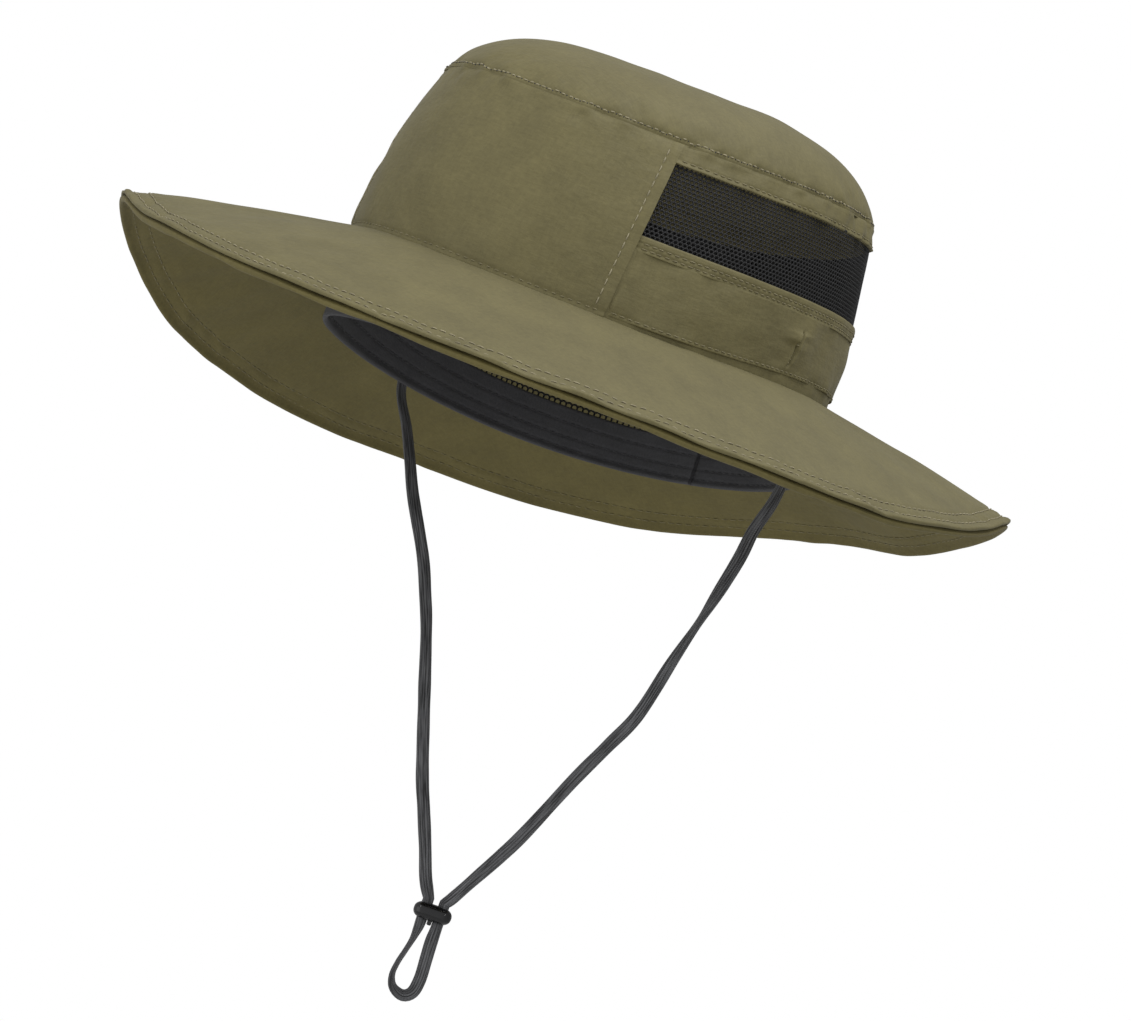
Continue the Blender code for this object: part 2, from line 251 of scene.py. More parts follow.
def tip_point(angle, share, depth):
    angle, share, depth = np.broadcast_arrays(angle, share, depth)
    leaning = angle + SEAM_LEAN * np.sin(np.radians(angle))
    start = math.radians(TIP_START)
    turn = start + share * (math.pi / 2 - start)
    reach = (np.maximum(np.cos(turn), 0) / math.cos(start)) ** (2 / TIP_ROUNDNESS)
    lift = (np.sin(turn) - math.sin(start)) / (1 - math.sin(start))
    seam = wall_point(angle, WALL_HEIGHT, 0.0 * depth) - direction(leaning) * depth[..., None]
    middle = np.array((0, 2 * CROWN_LEAN, WALL_HEIGHT))
    point = middle + (seam - middle) * reach[..., None]
    point[..., 2] += GAP + (TIP_RISE - depth) * lift
    return point


def brim_slope(angle):
    """How far the brim falls away at an angle, in radians, on a smooth curve through BRIM_SLOPES."""
    knots, values = np.array(BRIM_SLOPES, float).T
    knots = np.concatenate([knots[-2:] - 360, knots, knots[:2] + 360])
    values = np.concatenate([values[-2:], values, values[:2]])
    angle = np.mod(angle, 360)
    i = np.clip(np.searchsorted(knots, angle, side="right") - 1, 1, len(knots) - 3)
    span = knots[i + 1] - knots[i]
    s = (angle - knots[i]) / span
    leave = (values[i + 1] - values[i - 1]) / (knots[i + 1] - knots[i - 1]) * span
    arrive = (values[i + 2] - values[i]) / (knots[i + 2] - knots[i]) * span
    slope = (2 * s**3 - 3 * s**2 + 1) * values[i] + (s**3 - 2 * s**2 + s) * leave
    return np.radians(slope + (3 * s**2 - 2 * s**3) * values[i + 1] + (s**3 - s**2) * arrive)


def brim_width(angle):
    return BRIM_WIDTH + BRIM_OFFSET * np.cos(np.radians(angle - OFFSET_ANGLE))


def brim_point(angle, share, depth):
    angle, share, depth = np.broadcast_arrays(angle, share, depth)
    slope = brim_slope(angle)[..., None]
    out = direction(angle)
    up = np.array((0.0, 0.0, 1.0))
    along = out * np.cos(slope) - up * np.sin(slope)
    above = out * np.sin(slope) + up * np.cos(slope)
    width = brim_width(angle)[..., None]
    s = np.maximum(share, 0)[..., None]
    tangent = along * width + above * 4 * BRIM_BOW * (1 - 2 * s)
    normal = unit(up * (tangent * out).sum(-1, keepdims=True) - out * tangent[..., 2:])
    point = junction(angle) + along * width * s + above * 4 * BRIM_BOW * s * (1 - s)
    point -= normal * depth[..., None]
    flange = junction(angle) - out * CLOTH * np.maximum(-share, 0)[..., None] - up * depth[..., None]
    return np.where(share[..., None] < 0, flange, point)


def hanging_point(angle, drop, depth):
    angle, drop, depth = np.broadcast_arrays(angle, drop, depth)
    share = np.maximum(drop, 0) / (NET_DROP + SWEATBAND_HEIGHT)
    point = junction(angle) - direction(angle) * (CLOTH + GAP + depth - SWEATBAND_FLARE * share)[..., None]
    point[..., 2] -= drop + HANG_TILT * np.cos(np.radians(angle - HANG_ANGLE)) * share
    return point


# Relief

def ease(x):
    """From 0 to 1 with soft ends, as x goes from 0 to 1."""
    x = np.clip(x, 0, 1)
    return x * x * (3 - 2 * x)


def noise(u, v, seed, wrap=0):
    """Smooth random values from -1 to 1 over cells of size 1. With wrap, u comes round after that many."""
    u, v = np.broadcast_arrays(np.asarray(u, float), np.asarray(v, float))
    rng = np.random.default_rng(seed)
    side = 97
    table = rng.uniform(-1, 1, (side, side))
    i, j = np.floor(u).astype(int), np.floor(v).astype(int)
    a, b = ease(u - i), ease(v - j)
    turn = wrap or side
    i0, i1 = i % turn % side, (i + 1) % turn % side
    j0, j1 = j % side, (j + 1) % side
    low = table[i0, j0] * (1 - a) + table[i1, j0] * a
    high = table[i0, j1] * (1 - a) + table[i1, j1] * a
    return low * (1 - b) + high * b


def ring_noise(angle, cells, v, seed, shift=0):
    """Noise with that many cells round the hat."""
    return noise(angle / 360 * cells + shift, v, seed, cells)


def near(value, line, width):
    """1 on the line, falling to 0 over about the width on both sides."""
    return np.exp(-((value - line) / width) ** 2)


# Mesh making

def filed(made, node=None):
    """Puts a piece on its body and hides the node that it stands in for."""
    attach(made, "root")
    if node:
        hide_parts(node)
    return made


def add_mesh(name, points, faces, material, node=None, uv=None):
    """A new smooth piece. uv holds one pair for each face corner, in the order of faces."""
    data = bpy.data.meshes.new(name)
    data.from_pydata(points.reshape(-1, 3).tolist(), [], faces)
    if uv is not None:
        layer = data.uv_layers.new(name="cloth")
        layer.data.foreach_set("uv", np.ascontiguousarray(uv, np.float32).ravel())
    data.materials.append(material)
    data.shade_smooth()
    return filed(linked(name, data), node)


def section(start, end, outer, inner, rows, inner_rows, scale=1.0, low_edge=None, high_edge=None):
    """A cloth's cross-section as a loop of (station, depth, side): its outer face, its upper edge, its inner
    face and its lower edge. low_edge and high_edge are the radii of the corners, and an edge without one is
    fully round. scale turns a depth in metres into a station."""
    half = (inner - outer) / 2
    low_edge = half if low_edge is None else low_edge
    high_edge = half if high_edge is None else high_edge
    low, high = start + low_edge * scale, end - high_edge * scale
    turns = np.radians((0, 30, 60, 90))

    def edge(at, radius, way, face, other):
        """Two rounded corners, from one face to the other, with the middle of the edge between them."""
        return ([(at + way * radius * scale * math.sin(t), face + way * radius * (1 - math.cos(t)))
                 for t in turns[1:]]
                + [(at + way * radius * scale * math.cos(t), other - way * radius * (1 - math.sin(t)))
                   for t in turns[1 if radius == half else 0:-1]])

    loop = [(s, outer) for s in np.linspace(low, high, rows)] + edge(high, high_edge, 1, outer, inner)
    loop += [(s, inner) for s in np.linspace(high, low, inner_rows)] + edge(low, low_edge, -1, inner, outer)
    return np.array([(s, d, (inner - d) / (inner - outer)) for s, d in loop])


def corner_uv(u, v, i, j):
    """The uv pairs of the four corners of each cell i, j of a grid."""
    corners = ((i, j), (i + 1, j), (i + 1, j + 1), (i, j + 1))
    return np.stack([np.stack([u[a], v[b]], -1) for a, b in corners], 1)


def shell(name, node, loop, angles, point, material, relief, ring=False, flat_uv=None,
          flip=False):
    """A closed solid of cloth in place of a node: a cross-section loop carried round the hat. relief says
    how far a point stands out of the plain surface, from its angle, station and side (1 on the outer face).
    """
    angle = np.asarray(angles, float)[None, :]
    station, depth, side = (loop[:, k][:, None] for k in range(3))
    points = point(angle, station, depth - relief(angle, station, side))
    count, turns = points.shape[:2]
    k = np.arange(count)
    n = np.arange(turns if ring else turns - 1)
    k, n = (x.ravel() for x in np.meshgrid(k, n, indexing="ij"))
    k2, n2 = (k + 1) % count, (n + 1) % turns
    faces = np.stack([k * turns + n, k * turns + n2, k2 * turns + n2, k2 * turns + n], -1)
    if flat_uv is None:
        step = float(angle[0, -1] - angle[0, -2]) if ring else 0
        end = np.append(angle[0], angle[0, -1] + step)
        u = end * WALL_DEGREE
        v = np.cumsum(np.r_[0, np.hypot(*np.diff(loop[:, :2], axis=0).T)])
        v = np.append(v, v[-1] + np.hypot(*(loop[0, :2] - loop[-1, :2])))
        uv = corner_uv(u, v, n, k)
    else:
        flat = flat_uv(np.broadcast_to(angle, points.shape[:2]), np.broadcast_to(station, points.shape[:2]))
        uv = flat.reshape(-1, 2)[faces]
    # Faces look out of the solid where the loop runs up an outer face while the angle grows.
    if flip:
        faces, uv = faces[:, ::-1], uv[:, ::-1]
    faces = faces.tolist()
    corners = list(uv)
    if not ring:
        for column, down in ((0, flip), (turns - 1, not flip)):
            order = range(count - 1, -1, -1) if down else range(count)
            faces.append([row * turns + column for row in order])
            corners.append(np.tile(uv[0, 0], (count, 1)))
    made = add_mesh(name, points, faces, material, node, np.concatenate(corners))
    made.data.set_sharp_from_angle(angle=math.radians(50))
    return made


def tubes(name, starts, ends, normals, radius, material, node=None, rings=(0, 0.18, 0.5, 0.82, 1),
          fat=(0.35, 0.9, 1, 0.9, 0.35), lift=(-0.5, 0.35, 0.6, 0.35, -0.5), flat=1.0):
    """Many short threads in one mesh, each from its start to its end and arched out along its normal. rings
    are the shares of its length where it has points, and fat and lift its radius and rise there."""
    sides = 4
    along = ends - starts
    forward = unit(along)
    side = unit(np.cross(forward, normals))
    out = np.cross(side, forward)
    turn = (np.arange(sides) * 2 * math.pi / sides)[:, None]
    count, steps = len(starts), len(rings)
    radius = np.broadcast_to(np.asarray(radius, float), count)[:, None, None, None]
    starts, along, side, out = (x[:, None, None, :] for x in (starts, along, side, out))
    rings, fat, lift = (np.array(x)[None, :, None, None] for x in (rings, fat, lift))
    centre = starts + along * rings + out * radius * lift
    points = centre + (side * np.cos(turn) + out * flat * np.sin(turn)) * radius * fat
    base = (np.arange(count) * steps * sides)[:, None, None]
    here = base + np.arange(steps - 1)[None, :, None] * sides
    j = np.arange(sides)
    j2 = (j + 1) % sides
    quads = np.stack([here + j, here + j2, here + sides + j2, here + sides + j], -1).reshape(-1, 4)
    caps = [[b + s for s in range(sides - 1, -1, -1)] for b in base.ravel()]
    caps += [[b + (steps - 1) * sides + s for s in range(sides)] for b in base.ravel()]
    return add_mesh(name, points, quads.tolist() + caps, material, node)


def stitch_row(point, fixed, values, depth, pitch=0.0030, fill=0.72, axis="angle", wobble=0.0, seed=1):
    """Starts, ends and normals of one row of stitches on a surface. With axis "angle" the row runs round
    the hat at a fixed station, and values are its first and last angle. With "station" it runs up."""
    def spot(along, across, further=0):
        angle, station = (along, across) if axis == "angle" else (across, along)
        return point(angle, station, depth + further + 0 * along)

    fine = np.linspace(values[0], values[1], 2400)
    run = run_along(spot(fine, fixed + 0 * fine))
    count = max(1, int(run[-1] / pitch))
    rng = np.random.default_rng(seed)
    middle = (np.arange(count) + 0.5) * run[-1] / count + rng.normal(0, 0.04 * pitch, count)
    half = fill * run[-1] / count / 2 * (1 + rng.normal(0, 0.06, count))
    first = np.interp(middle - half, run, fine)
    last = np.interp(middle + half, run, fine)
    across = fixed + rng.normal(0, 1, count) * wobble
    centre = (first + last) / 2
    normal = unit(spot(centre, across) - spot(centre, across, 0.001))
    return spot(first, across), spot(last, across), normal


def sewn(name, rows, radius, material, face=1):
    """One piece with the stitches of several rows. face is -1 on a cloth's inner face."""
    starts, ends, normals = (np.concatenate(part) for part in zip(*rows))
    return tubes(name, starts, ends, face * normals, radius, material)


# Materials

class Surface:
    """A material in the making: a Principled shader and a short way to add nodes to it."""

    def __init__(self, name, roughness, specular=0.5, sheen=0.0, sheen_roughness=0.5):
        self.made = bpy.data.materials.new(name)
        self.made.use_nodes = True
        self.tree = self.made.node_tree
        self.shader = self.tree.nodes["Principled BSDF"]
        for key, value in (("Roughness", roughness), ("Specular IOR Level", specular),
                           ("Sheen Weight", sheen), ("Sheen Roughness", sheen_roughness)):
            self.shader.inputs[key].default_value = value

    def node(self, kind, **inputs):
        made = self.tree.nodes.new(kind)
        for key, value in inputs.items():
            self.put(value, made.inputs[key])
        return made

    def put(self, value, socket):
        if isinstance(value, bpy.types.NodeSocket):
            self.tree.links.new(value, socket)
        else:
            socket.default_value = value

    def maths(self, kind, *values):
        made = self.tree.nodes.new("ShaderNodeMath")
        made.operation = kind
        for place, value in zip(made.inputs, values):
            self.put(value, place)
        return made.outputs[0]

    def mix(self, *terms):
        """The sum of pairs of a value and its weight."""
        total = None
        for value, weight in terms:
            value = value if weight == 1 else self.maths("MULTIPLY", value, weight)
            total = value if total is None else self.maths("ADD", total, value)
        return total

    def cloth_uv(self, across, along):
        """The cloth's own coordinates in metres, divided by the two cell sizes."""
        where = self.node("ShaderNodeUVMap")
        where.uv_map = "cloth"
        return self.node("ShaderNodeMapping", Vector=where.outputs[0],
                         Scale=(1 / across, 1 / along, 1)).outputs[0]

    def place(self, cell):
        """The place on the object, divided by a cell size in metres."""
        where = self.node("ShaderNodeTexCoord").outputs["Object"]
        return self.node("ShaderNodeMapping", Vector=where, Scale=(1 / cell,) * 3).outputs[0]

    def noise(self, vector, detail=2.0, roughness=0.5):
        return self.node("ShaderNodeTexNoise", Vector=vector, Scale=1.0, Detail=detail,
                         Roughness=roughness).outputs[0]

    def colour(self, base, factor, spread, tint=(1, 1, 1)):
        """The base colour, darker where factor is 0 and lighter where it is 1."""
        ramp = self.node("ShaderNodeValToRGB", Fac=factor)
        low, high = ramp.color_ramp.elements
        low.position, high.position = 0.25, 0.75
        low.color = (*(c * (1 - spread) for c in base), 1)
        high.color = (*(c * (1 + spread) * t for c, t in zip(base, tint)), 1)
        self.put(ramp.outputs[0], self.shader.inputs["Base Color"])

    def bump(self, height, distance, strength=1.0):
        made = self.node("ShaderNodeBump", Height=height, Strength=strength, Distance=distance)
        self.put(made.outputs[0], self.shader.inputs["Normal"])


def olive(name, base):
    """Smooth nylon with a soft satin shine, slubs too fine to count and a slow mottle."""
    made = Surface(name, 0.66, 0.3, 0.06, 0.4)
    warp = made.noise(made.cloth_uv(0.0045, 0.0006), 2.0)
    weft = made.noise(made.cloth_uv(0.0006, 0.0045), 2.0)
    slubs = made.maths("MULTIPLY", made.maths("ADD", warp, weft), 0.5)
    mottle = made.noise(made.place(0.016), 3.0)
    grain = made.noise(made.place(0.0016), 1.0)
    mixed = made.mix((slubs, 0.5), (mottle, 0.45), (grain, 0.25))
    made.colour(base, made.maths("SUBTRACT", mixed, 0.1), 0.23, (1.0, 1.0, 0.97))
    crinkle = made.noise(made.cloth_uv(0.011, 0.0065), 4.0, 0.6)
    made.bump(made.mix((slubs, 0.22), (crinkle, 3.0)), 0.00030, 0.7)
    return made.made


def knit(name, base):
    """The sweatband's knit: fine upright ribs, with a soft bloom."""
    made = Surface(name, 0.88, 0.2, 0.07, 0.5)
    split = made.node("ShaderNodeSeparateXYZ", Vector=made.cloth_uv(0.0007 / math.tau, 0.0005 / math.tau))
    ribs, loops = (made.maths("SINE", split.outputs[k]) for k in (0, 1))
    fuzz = made.noise(made.cloth_uv(0.0006, 0.0012), 3.0, 0.7)
    mottle = made.noise(made.place(0.012), 2.0)
    made.colour(base, made.mix((fuzz, 0.7), (mottle, 0.3)), 0.28)
    made.bump(made.mix((made.maths("MULTIPLY", ribs, loops), 0.3), (fuzz, 1)), 0.00018, 0.9)
    return made.made


def cord_weave(name, base):
    """The flat cord's weave: fine lines along it, crossed by the slant of the braid."""
    made = Surface(name, 0.62, 0.35, 0.2, 0.4)
    split = made.node("ShaderNodeSeparateXYZ", Vector=made.cloth_uv(0.00090 / math.tau, 0.00062 / math.tau))
    lines = made.maths("SINE", split.outputs[1])
    slant = made.maths("SINE", made.maths("ADD", split.outputs[0], split.outputs[1]))
    streaks = made.noise(made.cloth_uv(0.012, 0.0005), 3.0)
    mixed = made.mix((lines, 0.10), (streaks, 1))
    strong = made.maths("MULTIPLY", made.maths("SUBTRACT", mixed, 0.5), 1.7)
    made.colour(base, made.maths("ADD", strong, 0.5), 0.75)
    made.bump(made.mix((slant, 0.25), (mixed, 1)), 0.00030, 0.9)
    return made.made


def speckled(made, base, cell, detail, spread, grain, grain_detail, distance, strength):
    """A plain surface with a fine speckle in its colour and a finer grain in its relief."""
    made.colour(base, made.noise(made.place(cell), detail), spread)
    made.bump(made.noise(made.place(grain), grain_detail), distance, strength)
    return made.made


def dark_net(name, base):
    return speckled(Surface(name, 0.6, 0.35), base, 0.0009, 2.0, 0.35, 0.00025, 1.0, 0.00008, 0.6)


def gloss(name, base):
    return speckled(Surface(name, 0.15), base, 0.004, 2.0, 0.15, 0.0015, 2.0, 0.00005, 0.4)


def thread(name, base):
    return speckled(Surface(name, 0.7, sheen=0.1), base, 0.004, 3.0, 0.28, 0.0003, 1.0, 0.00006, 0.6)


# The crown's pieces

def crown_spot(angle, height):
    """Soft dents of the crown wall, the same on all its pieces so that they keep together."""
    return (0.0006 * ring_noise(angle, 26, height / 0.030 + 7, 11)
            + 0.00025 * ring_noise(angle, 52, height / 0.015 + 3, 12))


TIP_RUN = 0.0475          # metres that a whole share of the crown's top stands for near its seam
SEAM_ROW = 0.0014         # height above that seam of the row sewn there
ROUND_STEP = 0.72         # degrees from one column of a whole ring to the next


def seam_puckers(angle, row, away):
    """The pull of the seam round the crown's top, the same on the cloth above it and below it."""
    return 0.00105 * ring_noise(angle, 110, row, 5) * np.exp(-np.abs(away) / 0.0045)


def top_seam(angle, top):
    return seam_puckers(angle, 9 - top / 0.005, top)


def tip_relief(angle, share, side):
    place = tip_point(angle, share, 0.0 * share)
    dents = 0.0006 * noise(place[..., 0] / 0.034 + 20.5, place[..., 1] / 0.034 + 20.5, 3)
    dents += 0.0003 * noise(place[..., 0] / 0.013 + 20, place[..., 1] / 0.013 + 20, 4)
    above = share * TIP_RUN
    free = ease(above / 0.012)
    row = near(above, SEAM_ROW, 0.0008)
    crease = near(above, -0.0002, 0.0006)
    return (dents * free + crown_spot(angle, WALL_HEIGHT) * (1 - free)
            + seam_puckers(angle, above / 0.005 + 9, above) - (0.00022 * row + 0.00035 * crease) * side)


def tip_uv(angle, share):
    return tip_point(angle, share, 0.0 * share)[..., :2] * (1 + 0.12 * (1 - share))[..., None]


def make_crown_tip(material):
    rows = 84
    loop = section(-0.0005 / TIP_RUN, 1, 0, CLOTH, rows, 14, 1 / TIP_RUN, 0.00015, 0.0001)
    first = loop[0, 0]
    loop[:rows, 0] = first + (1 - first) * np.linspace(0, 1, rows) ** 1.7
    # Both faces close in one point at the top of the dome, so the loop has no edge there.
    inside = int(np.argmax(loop[:, 2] <= 1e-9))
    loop = np.concatenate([loop[:rows], loop[inside:]])
    loop[rows, 0] = 1
    made = shell("crown_top_cloth", "crown_tip", loop, np.arange(0, 360, ROUND_STEP), tip_point, material,
                 tip_relief, ring=True, flat_uv=tip_uv)
    mesh = bmesh.new()
    mesh.from_mesh(made.data)
    bmesh.ops.remove_doubles(mesh, verts=mesh.verts, dist=1e-6)
    bmesh.ops.delete(mesh, geom=[edge for edge in mesh.edges if not edge.link_faces], context="EDGES")
    mesh.to_mesh(made.data)
    mesh.free()
    return made


def edge_distance(angle):
    """Metres from a front seam, measured round the hat, positive on the front panel."""
    turned = (angle + 180) % 360 - 180
    return (SEAM_ANGLE - np.abs(turned)) * WALL_DEGREE


BASE_ROW = 0.0016         # height of the front panel's row above the brim
PANEL_ROW = 0.0036        # distance of its upright rows from the front seams


def panel_relief(angle, height, side):
    inward = edge_distance(angle)
    lift = 0.0009 * ease(1 - (inward - 0.0008) / 0.0050) * side
    groove = -0.00028 * near(inward, PANEL_ROW, 0.0007) * side
    tugs = noise(height / 0.0075 + 3, (angle > 0) * 5.5 + inward / 0.01, 21) * np.exp(-inward / 0.006)
    top = WALL_HEIGHT - height
    low = ring_noise(angle, 60, height / 0.012, 23) * np.exp(-height / 0.010)
    wide = 0.0007 * noise(angle / 24 + 6, height / 0.040 + angle / 60, 24)
    # Its upper right corner stands up in a small peak.
    peak = 0.0014 * near(inward, 0, 0.0045) * near(top, 0, 0.0030) * (angle < 0)
    rows = 0.00020 * near(top, 0, 0.0006) + 0.00035 * near(height, BASE_ROW, 0.0006)
    return (crown_spot(angle, height) + lift + groove + peak + 0.00045 * tugs + top_seam(angle, top)
            + 0.0004 * low + wide - rows * side)


def make_front_panel(material):
    loop = section(-0.0003, WALL_HEIGHT, 0, CLOTH, 96, 20, 1.0, 0.0002, 0.00015)
    edge = SEAM_ANGLE + 0.25
    inner = np.linspace(-edge + 1.0, edge - 1.0, 190)
    ends = edge - np.array((0, 0.08, 0.2, 0.4, 0.65))
    return shell("front_panel_cloth", "front_panel", loop, np.r_[-ends, inner, ends[::-1]], wall_point,
                 material, panel_relief)


def side_angles(count):
    start = SEAM_ANGLE + 0.12
    return np.linspace(start, 360 - start, count)


def tucked(angle):
    """1 along the sides and back, easing to 0 where a piece goes under the front panel's edge."""
    return ease(-edge_distance(angle) / 0.0028)


UPPER_ROW = 0.0018        # height of the upper strip's row above the vent
UPPER_PROUD = 0.0002      # how far a piece stands out of the plain wall


def upper_relief(angle, height, side):
    top = WALL_HEIGHT - height
    low = height - VENT_TOP
    tugs = ring_noise(angle, 84, low / 0.006, 31) * np.exp(-low / 0.005)
    bumps = ring_noise(angle, 62, height / 0.009, 33) * tucked(angle)
    folds = ring_noise(angle, 140, height / 0.014, 34) * (near(angle, 112, 24) + near(angle, 248, 24))
    flare = 0.0003 * ease(1 - low / 0.006)
    rows = 0.00020 * near(top, 0, 0.0006) + 0.00022 * near(low, UPPER_ROW, 0.0006)
    return (crown_spot(angle, height) + top_seam(angle, top)
            + (0.0008 * tugs + 0.0006 * bumps + 0.0011 * folds + flare - rows
               + 0.0002 * near(low, 0.0004, 0.0006)) * side)


FACING_ROWS = (0.0026, 0.0045)     # depths of the lower strip's rows below the vent
FACING_PROUD = 0.0008


def facing_relief(angle, height, side):
    middle = VENT_BOTTOM - FACING_HEIGHT / 2
    ridge = 0.00012 * near(height, middle + 0.0006, 0.0012) * side
    rows = sum(near(height, VENT_BOTTOM - row, 0.0005) for row in FACING_ROWS)
    tugs = ring_noise(angle, 90, height / 0.005, 41)
    return (crown_spot(angle, height) + ridge + (0.00040 * tugs - 0.00024 * rows) * side
            - 0.0009 * (1 - tucked(angle)) * side)


def plain_relief(angle, height, side):
    return crown_spot(angle, height)


TACK = 94.0               # angle of the band's crumpled tack
BAND_FOLD = 0.0010        # height of the band's lower edge
BAND_PROUD = 0.0008
HEM_ROW = 0.0013          # height of its row above that edge


def band_relief(angle, height, side):
    bottom = height - BAND_FOLD
    hem = 0.00012 * near(bottom, 0.0006, 0.0010)
    groove = -0.00022 * near(bottom, HEM_ROW, 0.0005) * side
    tugs = ring_noise(angle, 84, height / 0.007, 51) * np.exp(-np.abs(height - 0.0255) / 0.006)
    low = ring_noise(angle, 84, height / 0.007 + 5, 52) * np.exp(-bottom / 0.006)
    total = crown_spot(angle, height) + (hem + 0.00045 * tugs + 0.00065 * low) * side + groove
    total = total + 0.0007 * ring_noise(angle, 34, height / 0.016, 53) * side
    # The tack is one upright crease, and short creases run into it from both sides.
    span = ease((height - 0.004) / 0.002) * ease((0.020 - height) / 0.002)
    off = (angle - TACK) * WALL_DEGREE + 0.0005 * noise(height / 0.005, 0.5, 55)
    drawn = noise(height / 0.0032 + 4 + 8 * (off > 0), 0.5 + np.abs(off) / 0.03, 54) * near(off, 0, 0.0070)
    crease = (-0.00190 * near(off, 0.0005, 0.00060) + 0.00045 * near(off, -0.0006, 0.0008)
              + 0.00035 * near(off, 0.0020, 0.0010))
    total = total + (0.00110 * drawn + crease) * side * span
    return np.maximum(total - 0.0011 * (1 - tucked(angle)) * side, -0.0012)


def band_point(angle, height, depth):
    """The wall, for the band: its lower edge rises away from the front panel."""
    angle = np.broadcast_to(angle, np.broadcast(angle, height).shape)
    turned = 180 - np.abs(angle - 180)
    rise = 0.0030 * ease((turned - 55) / 50)
    share = (SIDE_TOP - height) / (SIDE_TOP - BAND_FOLD)
    return wall_point(angle, height + rise * share, depth)


def make_sides(material):
    """The pieces along the sides and the back, from the top seam down."""
    band_angles = np.sort(np.r_[side_angles(430), np.arange(TACK - 5, TACK + 5, 0.1) + 0.013])
    return [shell(name, node, section(*cut), angles, point, material, relief)
            for name, node, point, relief, angles, cut in (
                ("vent_upper_cloth", "vent_upper_strip", wall_point, upper_relief, side_angles(540),
                 (VENT_TOP, WALL_HEIGHT, -UPPER_PROUD, CLOTH, 26, 6, 1.0, None, 0.00015)),
                ("vent_facing_cloth", "vent_lower_strip", wall_point, facing_relief, side_angles(460),
                 (SIDE_TOP - 0.0003, VENT_BOTTOM, -FACING_PROUD, CLOTH, 24, 4, 1.0, 0.0002, 0.0007)),
                ("side_lower_cloth", "side_lower", wall_point, plain_relief, side_angles(420),
                 (-0.0003, SIDE_TOP, 0, CLOTH, 12, 6, 1.0, 0.0002, 0.0002)),
                ("hat_band_cloth", "hat_band", band_point, band_relief, band_angles,
                 (BAND_FOLD, SIDE_TOP + 0.0001, -BAND_PROUD, 0.0001, 52, 6, 1.0, 0.0004, 0.0002)))]


NET_STRAND = 0.00036      # radius of a net's strand
CLOSER_STRAND = 0.00048   # what it gains where the net is drawn closer


def net_struts(name, node, point, first, last, low, high, cell, row, depth, material):
    """An open net of six-sided holes over part of a wall, every strand its own short thread."""
    across = np.linspace(first, last, 2001)
    run = run_along(point(across, 0 * across + (low + high) / 2, 0 * across + depth))
    columns = int(run[-1] / cell)
    pitch = run[-1] / columns
    rows = int((high - low) / row)
    tall = (high - low) / rows
    rise = tall * 0.15
    # The knots of row j lie half a cell further on than those of row j - 1, and each row is a zigzag.
    starts, ends = [], []
    for j in range(rows + 1):
        x = (np.arange(columns + 1) + 0.5 * (j % 2)) * pitch
        y = np.full(columns + 1, low + j * tall)
        peak, left, right, above = (np.stack([x + aside, y + up], -1) for aside, up in (
            (0, rise), (-pitch / 2, -rise), (pitch / 2, -rise), (0, tall - rise)))
        starts += [left, peak]
        ends += [peak, right]
        if j < rows:
            starts.append(peak)
            ends.append(above)
    starts, ends = np.concatenate(starts), np.concatenate(ends)
    keep = np.ones(len(starts), bool)
    for spot in (starts, ends):
        keep &= (spot[:, 0] >= -1e-9) & (spot[:, 0] <= run[-1] + 1e-9)
        spot[:, 1] = np.clip(spot[:, 1], low, high)
    keep &= np.linalg.norm(ends - starts, axis=-1) > 0.2 * row
    starts, ends = starts[keep], ends[keep]
    on_crown = point is wall_point

    def on_wall(flat):
        angle = np.interp(flat[:, 0], run, across)
        return point(angle, flat[:, 1], depth - (crown_spot(angle, flat[:, 1]) if on_crown else 0))

    a, b = on_wall(starts), on_wall(ends)
    x, y = ((starts + ends) / 2).T
    angle = np.interp(x, run, across)
    normal = unit(point(angle, y, 0 * angle + depth) - point(angle, y, 0 * angle + depth + 0.001))
    reach = (b - a) * 0.10
    # The crown's net is drawn closer at the back.
    closer = ease((angle - 116) / 14) * ease((242 - angle) / 14) * on_crown
    return tubes(name, a - reach, b + reach, normal, NET_STRAND + CLOSER_STRAND * closer, material,
                 node, rings=(0, 1), fat=(1, 1), lift=(0, 0), flat=0.4)


def make_nets(material):
    vent = net_struts("vent_net", "mesh_window", wall_point, SEAM_ANGLE, 360 - SEAM_ANGLE,
                      VENT_BOTTOM - 0.0003, VENT_TOP + 0.0006, 0.00184, 0.00138, CLOTH / 3, material)
    lining = net_struts("lining_net", "mesh_lining", hanging_point, 180.0, 540.0, -NET_RISE,
                        NET_DROP + 0.0003, 0.0023, 0.0018, NET / 2, material)
    return vent, lining


# The brim

SEWN_ROWS = (0.0040, 0.0088)       # distances of its two rows from the free edge
PLY_GAP = 0.0001                   # between the plies
HEAD_RADIUS = 0.093                # of the head opening, on average


def brim_wave(angle, share):
    """Slow buckles of the whole brim, the same on both plies."""
    grow = ease(share) ** 1.5
    wave = 0.0010 * ring_noise(angle, 22, 0.5, 61) + 0.0005 * ring_noise(angle, 44, 0.5, 62)
    creases = ring_noise(angle, 120, share * 2.2 + 3, 63) * near(angle, 302, 26)
    return grow * wave + 0.00055 * creases * ease(share / 0.5)


def ply_parts(angle, share, seed, row_width):
    """What the reliefs of both plies start from: metres from the free edge, the pull of the sewn rows, how
    far the plies stand apart at the edge, and soft dents."""
    edge = (1 - share) * brim_width(angle)
    rows = 0.00040 * sum(near(edge, row, row_width) for row in SEWN_ROWS)
    soft = ring_noise(angle, 60, share * 4, seed) * ease(share / 0.3) * 0.0004
    return edge, rows, 0.0004 * near(edge, 0, 0.0014), soft


